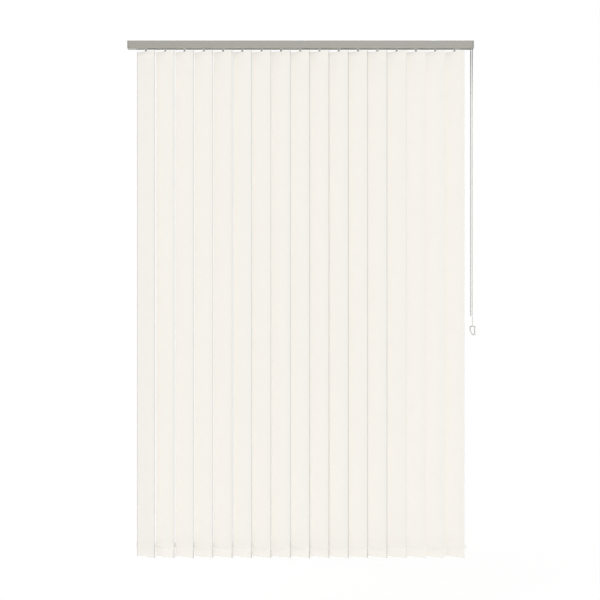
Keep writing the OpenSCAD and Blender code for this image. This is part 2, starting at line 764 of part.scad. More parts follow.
module vane(i) {
    translate([vane_x(i), 0, 0]) rotate([0, 0, -rest_angle]) {
        color(white_plastic) vane_hook();
        color(white_plastic) hanger();
        color(cloth_cream) vane_cloth();
        color(white_plastic) bottom_weight();
    }
}

// Rings on the weights' pins and the sagging chain between them
module link_chain(side) {
    arc_z = link_z - link_sag + link_arc_radius;
    translate([side * pin_x, -side * pin_y, 0]) {
        difference() {
            union() {
                for (i = [1:vane_count])
                    bar_z(vane_x(i), 0, link_z - link_ring_height / 2, link_z + link_ring_height / 2,
                        link_ring_radius, link_sides);
                for (i = [1:vane_count - 1])
                    translate([vane_x(i) + vane_pitch / 2, 0, arc_z]) rotate([90, 0, 0])
                        ring_arc(link_arc_radius, link_radius, 270 - link_arc_angle,
                            270 + link_arc_angle, link_sides);
            }
            for (i = [1:vane_count])
                bar_z(vane_x(i), 0, link_z - link_ring_height, link_z + link_ring_height,
                    link_ring_bore, link_sides);
        }
    }
}

module front_link_chain() {
    color(white_plastic) link_chain(1);
}

module rear_link_chain() {
    color(white_plastic) link_chain(-1);
}

headrail();
left_end_cap();
control_end_cap();
ceiling_clips();
end_stop();
tilt_rod();
chain_wheel();
wheel_chain();
tilt_chain();
traverse_cord();
pull_cord();
cord_weight();
front_cord_pulley();
rear_cord_pulley();
idler_pulley();
pulley_pins();
front_link_chain();
rear_link_chain();
for (i = [1:vane_count]) {
    carrier(i);
    vane(i);
}
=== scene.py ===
"""Vertical blind: builds the blind's looks round its engineered frame, and its studio."""

import math
import random

import bmesh
import bpy
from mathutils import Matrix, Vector


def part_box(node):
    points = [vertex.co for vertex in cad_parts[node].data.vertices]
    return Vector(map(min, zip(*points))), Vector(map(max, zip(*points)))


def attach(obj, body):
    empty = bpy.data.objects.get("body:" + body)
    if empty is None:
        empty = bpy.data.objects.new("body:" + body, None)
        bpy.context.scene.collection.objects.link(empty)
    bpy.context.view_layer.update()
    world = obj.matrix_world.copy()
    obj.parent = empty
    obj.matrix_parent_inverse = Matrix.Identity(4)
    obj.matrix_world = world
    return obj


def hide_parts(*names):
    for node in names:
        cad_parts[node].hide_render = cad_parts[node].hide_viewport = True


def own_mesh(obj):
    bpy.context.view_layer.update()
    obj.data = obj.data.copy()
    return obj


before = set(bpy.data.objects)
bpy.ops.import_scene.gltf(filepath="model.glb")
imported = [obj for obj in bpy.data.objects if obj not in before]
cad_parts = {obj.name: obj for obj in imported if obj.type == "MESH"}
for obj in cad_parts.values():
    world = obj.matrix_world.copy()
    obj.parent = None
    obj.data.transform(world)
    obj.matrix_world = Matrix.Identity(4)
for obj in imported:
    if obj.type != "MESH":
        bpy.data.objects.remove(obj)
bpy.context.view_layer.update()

bl_info = {
    "name": "Vertical Blind",
    "version": (1, 0, 0),
    "blender": (4, 5, 0),
    "location": "View3D > Sidebar > Vertical Blind",
    "description": "Dresses a vertical blind: cloth vanes, bead chains, a pull cord and a headrail",
    "category": "Object",
}

MM = 0.001
VANE_NODES = sorted(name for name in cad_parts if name.startswith("vane_"))
CARRIER_NODES = sorted(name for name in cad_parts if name.startswith("carrier_"))


def middle_x(node):
    low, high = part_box(node)
    return (low.x + high.x) / 2


# How far apart the vanes hang at rest
PITCH = (middle_x(VANE_NODES[-1]) - middle_x(VANE_NODES[0])) / (len(VANE_NODES) - 1)


def linear(text):
    """The linear colour of an sRGB hex value."""
    parts = [int(text[k:k + 2], 16) / 255 for k in (0, 2, 4)]
    return [p / 12.92 if p <= 0.04045 else ((p + 0.055) / 1.055) ** 2.4 for p in parts]


# ---------------------------------------------------------------- settings


class VerticalBlindSizes(bpy.types.PropertyGroup):
    vane_width: bpy.props.FloatProperty(
        name="Vane width", description="Width of a cloth vane",
        default=89 * MM, subtype="DISTANCE", unit="LENGTH")
    vane_top: bpy.props.FloatProperty(
        name="Vane top", description="Height of the vanes' top fold in the blind's frame",
        default=-44 * MM, subtype="DISTANCE", unit="LENGTH")
    vane_bottom: bpy.props.FloatProperty(
        name="Vane bottom", description="Height of the vanes' bottom fold in the blind's frame",
        default=-2144 * MM, subtype="DISTANCE", unit="LENGTH")
    rest_angle: bpy.props.FloatProperty(
        name="Rest angle", description="Angle from the rail to the vanes as they hang at rest",
        default=math.radians(28), subtype="ANGLE", unit="ROTATION")
    cloth_thickness: bpy.props.FloatProperty(
        name="Cloth thickness", description="Thickness of the woven cloth",
        default=0.35 * MM, subtype="DISTANCE", unit="LENGTH")
    top_pocket: bpy.props.FloatProperty(
        name="Top pocket", description="Height of the pocket that holds the hanger",
        default=22 * MM, subtype="DISTANCE", unit="LENGTH")
    bottom_pocket: bpy.props.FloatProperty(
        name="Bottom pocket", description="Height of the pocket that holds the weight",
        default=57 * MM, subtype="DISTANCE", unit="LENGTH")
    hanger_thickness: bpy.props.FloatProperty(
        name="Hanger thickness", description="Thickness of the hanger plate in the top pocket",
        default=0.6 * MM, subtype="DISTANCE", unit="LENGTH")
    weight_thickness: bpy.props.FloatProperty(
        name="Weight thickness", description="Thickness of the weight in the bottom pocket",
        default=1.4 * MM, subtype="DISTANCE", unit="LENGTH")
    cloth_wave: bpy.props.FloatProperty(
        name="Cloth wave", description="How far the cloth strays from a plane",
        default=0.35 * MM, subtype="DISTANCE", unit="LENGTH")
    bead_diameter: bpy.props.FloatProperty(
        name="Bead diameter", description="Diameter of the beads of the tilt chain",
        default=4.5 * MM, subtype="DISTANCE", unit="LENGTH")
    bead_pitch: bpy.props.FloatProperty(
        name="Bead pitch", description="Distance from one bead of the tilt chain to the next",
        default=6 * MM, subtype="DISTANCE", unit="LENGTH")
    bead_core: bpy.props.FloatProperty(
        name="Chain core", description="Diameter of the thread between the beads of the tilt chain",
        default=1.2 * MM, subtype="DISTANCE", unit="LENGTH")
    cord_diameter: bpy.props.FloatProperty(
        name="Cord diameter", description="Diameter of the pull cord",
        default=2 * MM, subtype="DISTANCE", unit="LENGTH")
    link_bead_diameter: bpy.props.FloatProperty(
        name="Link bead diameter", description="Diameter of the beads of the link chains",
        default=2.2 * MM, subtype="DISTANCE", unit="LENGTH")
    link_bead_pitch: bpy.props.FloatProperty(
        name="Link bead pitch", description="Distance from one bead of the link chains to the next",
        default=3.4 * MM, subtype="DISTANCE", unit="LENGTH")
    link_sag: bpy.props.FloatProperty(
        name="Link sag", description="Sag of the link chains between two vanes",
        default=9 * MM, subtype="DISTANCE", unit="LENGTH")


class VerticalBlindColours(bpy.types.PropertyGroup):
    cloth: bpy.props.FloatVectorProperty(
        name="Cloth", description="Colour of the woven vanes",
        default=linear("F7F4EE"), subtype="COLOR", min=0, max=1)
    # The fused cut edges' own tone, deepened to paint shade along them
    cloth_edge_and_shade: bpy.props.FloatVectorProperty(
        name="Cloth edge", description="Colour of the vanes' heat-cut edges",
        default=linear("C4BFB6"), subtype="COLOR", min=0, max=1)
    rail: bpy.props.FloatVectorProperty(
        name="Rail", description="Colour of the coated headrail",
        default=linear("929088"), subtype="COLOR", min=0, max=1)
    caps: bpy.props.FloatVectorProperty(
        name="End caps", description="Colour of the moulded end caps",
        default=linear("8B8983"), subtype="COLOR", min=0, max=1)
    hooks: bpy.props.FloatVectorProperty(
        name="Hooks", description="Colour of the vane hooks and hangers",
        default=linear("A4A39F"), subtype="COLOR", min=0, max=1)
    chain: bpy.props.FloatVectorProperty(
        name="Chains", description="Colour of the bead chains",
        default=linear("D8D7D3"), subtype="COLOR", min=0, max=1)
    cord: bpy.props.FloatVectorProperty(
        name="Pull cord", description="Colour of the braided cord",
        default=linear("EAE8E2"), subtype="COLOR", min=0, max=1)
    links: bpy.props.FloatVectorProperty(
        name="Link chains", description="Colour of the fine chains between the bottom weights",
        default=linear("F3F1EB"), subtype="COLOR", min=0, max=1)
    ring: bpy.props.FloatVectorProperty(
        name="Ring", description="Colour of the ring that weights the pull cord",
        default=linear("ABAAA7"), subtype="COLOR", min=0, max=1)
    weights: bpy.props.FloatVectorProperty(
        name="Bottom weights", description="Colour of the weights in the vanes' bottom pockets",
        default=linear("F2F1EC"), subtype="COLOR", min=0, max=1)
    backdrop: bpy.props.FloatVectorProperty(
        name="Backdrop", description="Colour of the floor and of what stands behind the blind",
        default=(1, 1, 1), subtype="COLOR", min=0, max=1)


# ---------------------------------------------------------------- materials


def add_node(tree, kind, links=None, values=None, **settings):
    """Adds a shader node: links feed its sockets, values set them, settings are its own."""
    node = tree.nodes.new(kind)
    for name, value in settings.items():
        setattr(node, name, value)
    for socket, value in (values or {}).items():
        node.inputs[socket].default_value = value
    for socket, source in (links or {}).items():
        tree.links.new(source, node.inputs[socket])
    return node


def colour4(colour):
    return [*colour[:3], 1]


def shaded(colour, factor):
    return [*(c * factor for c in colour[:3]), 1]


def start_material(name):
    """A new material with its shader, and its tree with nothing else in it."""
    material = bpy.data.materials.new(name)
    material.use_nodes = True
    tree = material.node_tree
    shader = next(n for n in tree.nodes if n.type == "BSDF_PRINCIPLED")
    return material, tree, shader


def band_scale(size):
    """The scale at which a wave texture repeats once in the given length."""
    return math.pi / 10 / size


def speckled(tree, shader, colour, place, scale, spread, detail=3):
    """Gives the shader a colour that strays by a small share, in patches of the given scale."""
    noise = add_node(tree, "ShaderNodeTexNoise", {"Vector": place},
                     {"Scale": scale, "Detail": detail})
    ramp = add_node(tree, "ShaderNodeValToRGB", {"Fac": noise.outputs["Fac"]})
    ramp.color_ramp.elements[0].position = 0.3
    ramp.color_ramp.elements[1].position = 0.7
    ramp.color_ramp.elements[0].color = shaded(colour, 1 - spread)
    ramp.color_ramp.elements[1].color = colour4(colour)
    tree.links.new(ramp.outputs["Color"], shader.inputs["Base Color"])
    return noise


def roughened(tree, shader, height, strength, depth):
    """Raises the surface by the given height pattern, as deep as the given size."""
    bump = add_node(tree, "ShaderNodeBump", {"Height": height},
                    {"Strength": strength, "Distance": depth})
    tree.links.new(bump.outputs["Normal"], shader.inputs["Normal"])


def coated_aluminium(colours):
    """Extruded, then powder coated: satin, with faint die lines and a fine orange peel."""
    material, tree, shader = start_material("coated_aluminium")
    shader.inputs["IOR"].default_value = 1.5
    place = add_node(tree, "ShaderNodeTexCoord").outputs["Object"]
    die_line = 0.9 * MM  # real die lines are about 0.2 mm apart, drawn coarser to show
    stretched = add_node(tree, "ShaderNodeMapping", {"Vector": place}, {"Scale": (0.004, 1, 1)})
    lines = speckled(tree, shader, colours.rail, stretched.outputs["Vector"], 1 / die_line, 0.05)
    sheen = add_node(tree, "ShaderNodeMapRange", {"Value": lines.outputs["Fac"]},
                     {"To Min": 0.42, "To Max": 0.52})
    tree.links.new(sheen.outputs["Result"], shader.inputs["Roughness"])
    peel = add_node(tree, "ShaderNodeTexNoise", {"Vector": place},
                    {"Scale": 1 / (0.8 * MM), "Detail": 2})
    roughened(tree, shader, peel.outputs["Fac"], 0.25, 0.02 * MM)
    return material


def moulded_plastic(name, colour, roughness, grain, depth, spread=0.03):
    """Moulded in a finely eroded tool: an even colour with a dull, slightly pebbled skin."""
    material, tree, shader = start_material(name)
    shader.inputs["Roughness"].default_value = roughness
    shader.inputs["IOR"].default_value = 1.5
    place = add_node(tree, "ShaderNodeTexCoord").outputs["Object"]
    skin = speckled(tree, shader, colour, place, 1 / grain, spread)
    roughened(tree, shader, skin.outputs["Fac"], 0.3, depth)
    return material


def drawn_metal(name, text, roughness, along, grain=0.5 * MM):
    """Drawn or rolled metal: bright, with fine scratches along the way it was drawn."""
    material, tree, shader = start_material(name)
    shader.inputs["Metallic"].default_value = 1
    shader.inputs["Roughness"].default_value = roughness
    place = add_node(tree, "ShaderNodeTexCoord").outputs["Object"]
    stretched = add_node(tree, "ShaderNodeMapping", {"Vector": place},
                         {"Scale": [0.02 if k == along else 1 for k in range(3)]})
    lines = speckled(tree, shader, linear(text), stretched.outputs["Vector"], 1 / grain, 0.1)
    roughened(tree, shader, lines.outputs["Fac"], 0.2, 0.01 * MM)
    return material


# The sockets of a colour mix: it has one set of A and B for each kind of value
MIX_A, MIX_B, MIXED = 6, 7, 2


def shaded_near_rail(material, tree, shader, share):
    """Paints shade on a strand: darker to the given share near the rail, whose shadow falls on it.
    """
    unshaded_colour = shader.inputs["Base Color"].links[0].from_socket
    place = add_node(tree, "ShaderNodeTexCoord").outputs["Object"]
    apart = add_node(tree, "ShaderNodeSeparateXYZ", {"Vector": place})
    # Painted shade: full colour far below the rail, down to the given share close under it
    rail_shade = add_node(tree, "ShaderNodeMapRange", {"Value": apart.outputs["Z"]},
                      {"From Min": -260 * MM, "From Max": -80 * MM, "To Min": 1, "To Max": share})
    mixed = add_node(tree, "ShaderNodeMix", {MIX_A: unshaded_colour, MIX_B: rail_shade.outputs["Result"]},
                     {"Factor": 1}, data_type="RGBA", blend_type="MULTIPLY")
    tree.links.new(mixed.outputs[MIXED], shader.inputs["Base Color"])
    return material


def woven_polyester(colours, sizes):
    """Stiffened plain weave: matt and cream white, with slubs in the yarn, heat-cut edges darkened
    further with painted shade, and painted shade along the bottom fold.
    """
    material, tree, shader = start_material("woven_polyester")
    shader.inputs["Roughness"].default_value = 0.85
    shader.inputs["Sheen Weight"].default_value = 0.1
    shader.inputs["Sheen Roughness"].default_value = 0.5
    shader.inputs["Specular IOR Level"].default_value = 0.3
    place = add_node(tree, "ShaderNodeTexCoord").outputs["Object"]
    thread = 0.7 * MM  # the yarns are 0.4 mm apart, drawn coarser to show
    yarns = [add_node(tree, "ShaderNodeTexWave", {"Vector": place},
                      {"Scale": band_scale(thread), "Distortion": 0.4, "Detail": 1},
                      bands_direction=way).outputs["Fac"] for way in ("X", "Z")]
    weave = add_node(tree, "ShaderNodeMath", {0: yarns[0], 1: yarns[1]}, operation="MULTIPLY")
    # Slubs are thick places in the yarn, about a millimetre wide and a few centimetres long
    slubs = []
    for scale in ((1 / (1.2 * MM), 1, 1 / (40 * MM)), (1 / (30 * MM), 1, 1 / (1.2 * MM))):
        stretched = add_node(tree, "ShaderNodeMapping", {"Vector": place}, {"Scale": scale})
        slubs.append(add_node(tree, "ShaderNodeTexNoise", {"Vector": stretched.outputs["Vector"]},
                              {"Scale": 1, "Detail": 2}).outputs["Fac"])
    slub = add_node(tree, "ShaderNodeMath", {0: slubs[0], 1: slubs[1]}, operation="ADD")
    tone = add_node(tree, "ShaderNodeMapRange", {"Value": slub.outputs["Value"]},
                    {"From Min": 0.7, "From Max": 1.3})
    plain = add_node(tree, "ShaderNodeMix", {"Factor": tone.outputs["Result"]},
                     {MIX_A: shaded(colours.cloth, 0.965), MIX_B: colour4(colours.cloth)},
                     data_type="RGBA")
    # Each long edge has a fused band, darkened further with painted shade. The object's own colour
    # says how dark: red near, green far
    apart = add_node(tree, "ShaderNodeSeparateXYZ", {"Vector": place})
    own = add_node(tree, "ShaderNodeSeparateColor",
                   {"Color": add_node(tree, "ShaderNodeObjectInfo").outputs["Color"]})
    limit = sizes.vane_width / 2 - 2 * MM
    bands = []
    for way, side, share in (("GREATER_THAN", limit, "Red"), ("LESS_THAN", -limit, "Green")):
        band = add_node(tree, "ShaderNodeMath", {0: apart.outputs["X"]}, {1: side}, operation=way)
        dark = add_node(tree, "ShaderNodeMath",
                        {0: band.outputs["Value"], 1: own.outputs[share]}, operation="MULTIPLY")
        bands.append(dark.outputs["Value"])
    edge = add_node(tree, "ShaderNodeMath", {0: bands[0], 1: bands[1]}, operation="MAXIMUM")
    cut = add_node(tree, "ShaderNodeMix",
                   {"Factor": edge.outputs["Value"], MIX_A: plain.outputs[MIXED]},
                   {MIX_B: colour4(colours.cloth_edge_and_shade)}, data_type="RGBA")
    # Painted shade: the cloth is darker over the last few millimetres above the bottom fold, where
    # the fold's edge lies in shade
    fold = sizes.vane_bottom + 6 * MM
    fold_shade = add_node(tree, "ShaderNodeMapRange", {"Value": apart.outputs["Z"]},
                       {"From Min": fold - 1 * MM, "From Max": fold + 1 * MM,
                        "To Min": 0.91, "To Max": 1})
    woven = add_node(tree, "ShaderNodeMix",
                     {MIX_A: cut.outputs[MIXED], MIX_B: fold_shade.outputs["Result"]},
                     {"Factor": 1}, data_type="RGBA", blend_type="MULTIPLY")
    tree.links.new(woven.outputs[MIXED], shader.inputs["Base Color"])
    roughened(tree, shader, weave.outputs["Value"], 0.35, 0.05 * MM)
    return material


def braided_polyester(colours):
    """A fine round braid: soft and matt, with strands that cross in short diamonds, painted shade
    in the pits between them and painted shade near the rail.
    """
    material, tree, shader = start_material("braided_polyester")
    shader.inputs["Roughness"].default_value = 0.8
    shader.inputs["Sheen Weight"].default_value = 0.2
    place = add_node(tree, "ShaderNodeAttribute", attribute_name="cord_place").outputs["Vector"]
    strand = 0.8 * MM
    braid = []
    for turn in (1, -1):
        slanted = add_node(tree, "ShaderNodeMapping", {"Vector": place},
                           {"Rotation": (0, 0, turn * math.pi / 4)})
        braid.append(add_node(tree, "ShaderNodeTexWave", {"Vector": slanted.outputs["Vector"]},
                              {"Scale": band_scale(strand)}, bands_direction="X").outputs["Fac"])
    crossing = add_node(tree, "ShaderNodeMath", {0: braid[0], 1: braid[1]}, operation="MAXIMUM")
    # Painted shade: the pits between the crossing strands are drawn darker
    tone = add_node(tree, "ShaderNodeMix", {"Factor": crossing.outputs["Value"]},
                    {MIX_A: shaded(colours.cord, 0.85), MIX_B: colour4(colours.cord)},
                    data_type="RGBA")
    tree.links.new(tone.outputs[MIXED], shader.inputs["Base Color"])
    roughened(tree, shader, crossing.outputs["Value"], 0.4, 0.1 * MM)
    # Painted shade: the cord darkens towards the rail
    return shaded_near_rail(material, tree, shader, 0.25)


def bead_polyester(colours):
    """Beads moulded on a thread: glossy, and greyer near the rail with painted shade."""
    material, tree, shader = start_material("bead_polyester")
    shader.inputs["Roughness"].default_value = 0.3
    shader.inputs["IOR"].default_value = 1.5
    place = add_node(tree, "ShaderNodeTexCoord").outputs["Object"]
    skin = speckled(tree, shader, colours.chain, place, 1 / (1.5 * MM), 0.03)
    roughened(tree, shader, skin.outputs["Fac"], 0.3, 0.01 * MM)
    # Painted shade: the beads darken towards the rail
    return shaded_near_rail(material, tree, shader, 0.42)


def finish(name):
    """The blind's material of that name, made once."""
    if name in bpy.data.materials:
        return bpy.data.materials[name]
    colours, sizes = bpy.context.scene.blind_colours, bpy.context.scene.blind_sizes
    if name == "coated_aluminium":
        return coated_aluminium(colours)
    if name == "woven_polyester":
        return woven_polyester(colours, sizes)
    if name == "braided_polyester":
        return braided_polyester(colours)
    if name == "bead_polyester":
        return bead_polyester(colours)
    if name == "drawn_aluminium":
        return drawn_metal(name, "D6D7D8", 0.28, 0)
    if name == "zinc_plated_steel":
        return drawn_metal(name, "AAADAF", 0.5, 1)
    if name == "stainless_steel":
        return drawn_metal(name, "C9C9C7", 0.22, 1)
    plastics = {
        "moulded_abs": (colours.caps, 0.5, 0.8 * MM, 0.03 * MM),
        "moulded_acetal": (colours.hooks, 0.4, 1.2 * MM, 0.01 * MM),
        "moulded_nylon": (linear("CFCEC9"), 0.45, 1 * MM, 0.02 * MM),
        "moulded_polystyrene": (colours.ring, 0.35, 1.5 * MM, 0.01 * MM),
        "link_polyester": (colours.links, 0.4, 1.5 * MM, 0.01 * MM),
        "polypropylene": (colours.weights, 0.5, 1 * MM, 0.02 * MM),
        "moulded_polycarbonate": (linear("F0F0EE"), 0.2, 2 * MM, 0.01 * MM),
    }
    return moulded_plastic(name, *plastics[name])


def dress(obj, material):
    """Puts the material on every slot of a piece."""
    if not obj.material_slots:
        obj.data.materials.append(finish(material))
    for slot in obj.material_slots:
        slot.material = finish(material)
    return obj


# ---------------------------------------------------------------- meshes


def new_piece(name, verts, faces, sharp=math.radians(32)):
    mesh = bpy.data.meshes.new(name)
    mesh.from_pydata([tuple(v) for v in verts], [], faces)
    mesh.validate()
    return show_mesh(name, mesh, sharp)


def show_mesh(name, mesh, sharp=math.radians(32)):
    mesh.shade_smooth()
    mesh.set_sharp_from_angle(angle=sharp)
    obj = bpy.data.objects.new(name, mesh)
    bpy.context.scene.collection.objects.link(obj)
    return obj


def smooth_route(points, steps):
    """The route through the points, rounded as the frame's own cords are."""
    out = []
    last = len(points) - 1
    for k in range(last):
        a, b = points[max(k - 1, 0)], points[k]
        c, d = points[k + 1], points[min(k + 2, last)]
        for j in range(steps):
            t = j / steps
            out.append(0.5 * (2 * b + (c - a) * t + (2 * a - 5 * b + 4 * c - d) * t * t
                              + (3 * b - a - 3 * c + d) * t ** 3))
    return out + [points[last]]


def route_length(points):
    return sum((b - a).length for a, b in zip(points, points[1:]))


def along_route(points, distances):
    """The places at the given distances along the route."""
    out, walked, k = [], 0.0, 0
    for s in distances:
        while k < len(points) - 2 and walked + (points[k + 1] - points[k]).length < s:
            walked += (points[k + 1] - points[k]).length
            k += 1
        step = points[k + 1] - points[k]
        out.append(points[k] + step * min(1, (s - walked) / max(step.length, 1e-9)))
    return out


def frames_along(points, side):
    """Two directions across the route at each of its points, one of them near side."""
    out = []
    for k in range(len(points)):
        way = (points[min(k + 1, len(points) - 1)] - points[max(k - 1, 0)]).normalized()
        first = (side - way * side.dot(way)).normalized()
        out.append((first, way.cross(first)))
    return out


def tube(points, radius, sides, side=Vector((1, 0, 0))):
    """Points and faces of a closed tube along the route."""
    verts, faces = [], []
    for p, (a, b) in zip(points, frames_along(points, side)):
        for k in range(sides):
            turn = math.tau * k / sides
            verts.append(p + (a * math.cos(turn) + b * math.sin(turn)) * radius)
    for k in range(len(points) - 1):
        for s in range(sides):
            c = k * sides + s
            d = k * sides + (s + 1) % sides
            faces.append((c, d, d + sides, c + sides))
    faces.append(tuple(reversed(range(sides))))
    end = (len(points) - 1) * sides
    faces.append(tuple(range(end, end + sides)))
    return verts, faces


def bead(centre, radius, sides=10, rings=6):
    """Points and faces of one round bead."""
    verts = [centre + Vector((0, 0, radius))]
    for r in range(1, rings):
        down = math.pi * r / rings
        for s in range(sides):
            turn = math.tau * s / sides
            way = Vector((math.sin(down) * math.cos(turn), math.sin(down) * math.sin(turn),
                          math.cos(down)))
            verts.append(centre + radius * way)
    verts.append(centre - Vector((0, 0, radius)))
    faces = [(0, 1 + s, 1 + (s + 1) % sides) for s in range(sides)]
    for r in range(rings - 2):
        for s in range(sides):
            a = 1 + r * sides + s
            b = 1 + r * sides + (s + 1) % sides
            faces.append((a, a + sides, b + sides, b))
    low, last = 1 + (rings - 2) * sides, len(verts) - 1
    faces += [(last, low + (s + 1) % sides, low + s) for s in range(sides)]
    return verts, faces


def joined(parts):
    """Points and faces of several meshes in one."""
    verts, faces = [], []
    for more_verts, more_faces in parts:
        start = len(verts)
        verts += more_verts
        faces += [tuple(start + k for k in face) for face in more_faces]
    return verts, faces


def beaded(points, bead_size, core_size, pitch, side=Vector((1, 0, 0))):
    """A chain of beads on a thread that follows the route."""
    total = route_length(points)
    count = int((total - bead_size) / pitch)
    first = (total - (count - 1) * pitch) / 2
    places = along_route(points, [first + k * pitch for k in range(count)])
    parts = [tube(points, core_size / 2, 6, side)]
    parts += [bead(p, bead_size / 2) for p in places]
    return joined(parts)


def solids_of(node):
    """The separate solids of a frame node as new meshes, from the highest top to the lowest."""
    whole = bmesh.new()
    whole.from_mesh(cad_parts[node].data)
    bmesh.ops.remove_doubles(whole, verts=whole.verts, dist=1e-6)
    left, found = set(whole.verts), []
    while left:
        group, edge = set(), [left.pop()]
        while edge:
            v = edge.pop()
            group.add(v)
            for e in v.link_edges:
                other = e.other_vert(v)
                if other in left:
                    left.discard(other)
                    edge.append(other)
        found.append(group)
    out = []
    for group in sorted(found, key=lambda g: -max(v.co.z for v in g)):
        ordered = sorted(group, key=lambda v: v.index)
        index = {v: k for k, v in enumerate(ordered)}
        faces = [tuple(index[v] for v in f.verts) for f in whole.faces if f.verts[0] in index]
        out.append(([v.co.copy() for v in ordered], faces))
    whole.free()
    return out


# ---------------------------------------------------------------- the blind


def sizes():
    return bpy.context.scene.blind_sizes


def vane_name(i):
    return f"vane_{i:02d}"


def vane_x(i):
    """Where the stem of vane i stands along the rail."""
    return middle_x(VANE_NODES[0]) + (i - 1) * PITCH


def place_in_vane(obj, i):
    """Sets a piece made round a vane's own stem in the place of vane i."""
    obj.location.x = vane_x(i)
    obj.rotation_euler.z = -sizes().rest_angle
    return obj


class BLIND_OT_camera(bpy.types.Operator):
    """Sets the camera square to the blind, where the photograph was taken from"""

    bl_idname = "blind.camera"
    bl_label = "Camera"

    def execute(self, context):
        camera = bpy.data.objects.new("camera", bpy.data.cameras.new("camera"))
        context.scene.collection.objects.link(camera)
        distance, below_rail, off_middle = 5.196, 1.0762, -1 * MM
        camera.location = (off_middle, -distance, -below_rail)
        camera.rotation_euler = (math.pi / 2, 0, 0)
        focal_pixels, image_pixels, sensor = 1252, 600, 36
        camera.data.sensor_width = sensor
        camera.data.lens = focal_pixels / image_pixels * sensor
        camera.data.clip_start = 0.1
        camera.data.clip_end = 60
        context.scene.camera = camera
        return {"FINISHED"}


# Routes of the free cords, as front-to-back and upward steps in millimetres from their exits
CHAIN_EXIT = Vector((708.8, 8.5, -36.5)) * MM
CHAIN_ROUTE = [
    (-6.7, 0), (-6.7, -120), (-6.8, -300), (-7, -500), (-7, -700), (-7, -900), (-7.4, -1030),
    (-9, -1080), (-9.6, -1094), (-8.4, -1102), (-5, -1107.6), (0, -1109.2),
    (5, -1107.6), (8.4, -1102), (9.6, -1094), (9, -1080),
    (7.4, -1030), (7, -900), (7, -700), (7, -500), (6.8, -300), (6.7, -120), (6.7, 0),
]
CORD_EXIT = Vector((713.4, -9.8, -36.5)) * MM
CORD_ROUTE = [
    (-4, 0), (-4, -150), (-4.1, -400), (-4.2, -650), (-4.1, -900), (-4, -1060), (-4, -1130),
    (-4, -1149), (-2.83, -1151.83), (0, -1153), (2.83, -1151.83), (4, -1149),
    (4, -1130), (4, -1060), (4.1, -900), (4.2, -650), (4.1, -400), (4, -150), (4, 0),
]


def hanging_route(way_out, steps, rounding=4):
    return smooth_route([way_out + Vector((0, y, z)) * MM for y, z in steps], rounding)


class BLIND_OT_tilt_chain(bpy.types.Operator):
    """Hangs the endless bead chain that turns the vanes"""

    bl_idname = "blind.tilt_chain"
    bl_label = "Tilt chain"

    def execute(self, context):
        size = sizes()
        route = hanging_route(CHAIN_EXIT, CHAIN_ROUTE)
        chain = new_piece("bead_chain", *beaded(route, size.bead_diameter, size.bead_core,
                                                size.bead_pitch), sharp=math.pi)
        dress(chain, "bead_polyester")
        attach(chain, "root")
        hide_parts("tilt_chain")
        return {"FINISHED"}


class BLIND_OT_pull_cord(bpy.types.Operator):
    """Hangs the cord that draws the vanes along the rail, with its ring weight in the bight"""

    bl_idname = "blind.pull_cord"
    bl_label = "Pull cord and weight"

    def execute(self, context):
        size = sizes()
        route = hanging_route(CORD_EXIT, CORD_ROUTE)
        sides = 10
        cord = new_piece("braided_cord", *tube(route, size.cord_diameter / 2, sides), sharp=math.pi)
        place = cord.data.attributes.new("cord_place", "FLOAT_VECTOR", "POINT")
        walked, girth = 0.0, math.pi * size.cord_diameter
        for k, p in enumerate(route):
            walked += (p - route[max(k - 1, 0)]).length
            for s in range(sides):
                around = girth * abs(2 * s / sides - 1)
                place.data[k * sides + s].vector = (walked, around, 0)
        dress(cord, "braided_polyester")
        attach(cord, "root")
        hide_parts("pull_cord")
        weight = dress(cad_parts["cord_weight"], "moulded_polystyrene")
        return {"FINISHED"}


def cloth_line(size):
    """The cloth's middle from the top pocket's weld round both folds to the bottom weld."""
    t = size.cloth_thickness / 2
    pocket_gap, lap, tuck = 0.1 * MM, 1.5 * MM, 2.2 * MM
    thin = size.hanger_thickness / 2 + pocket_gap + t
    thick = size.weight_thickness / 2 + pocket_gap + t
    top, low = size.vane_top, size.vane_bottom
    weld_high = top - size.top_pocket
    weld_low = low + size.bottom_pocket
    slot_rows = [top - drop * MM for drop in (13.5, 10.4, 5.4)]
    weight_rows = [weld_low - 3 * MM, weld_low - 18 * MM, low + 12 * MM]
    fold = [math.pi * k / 6 for k in range(7)]
    line = [(1.2 * t, weld_high - lap), (1.2 * t, weld_high), (thin, weld_high + tuck)]
    line += [(thin, z) for z in slot_rows]
    line += [(thin * math.cos(turn), top - thin - t + thin * math.sin(turn)) for turn in fold]
    line += [(-thin, z) for z in reversed(slot_rows)]
    line += [(-thin, weld_high + tuck), (-1.1 * t, weld_high), (-0.8 * t, weld_high - lap)]
    rows, clear = 44, 8 * MM
    start, end = weld_high - clear, weld_low + clear
    line += [(0, start + (end - start) * k / rows) for k in range(rows + 1)]
    line += [(-0.8 * t, weld_low + lap), (-1.1 * t, weld_low)]
    line += [(-thick, z) for z in weight_rows]
    line += [(-thick * math.cos(turn), low + thick + t - thick * math.sin(turn)) for turn in fold]
    line += [(thick, z) for z in reversed(weight_rows)]
    line += [(1.2 * t, weld_low), (1.2 * t, weld_low + lap)]
    return line


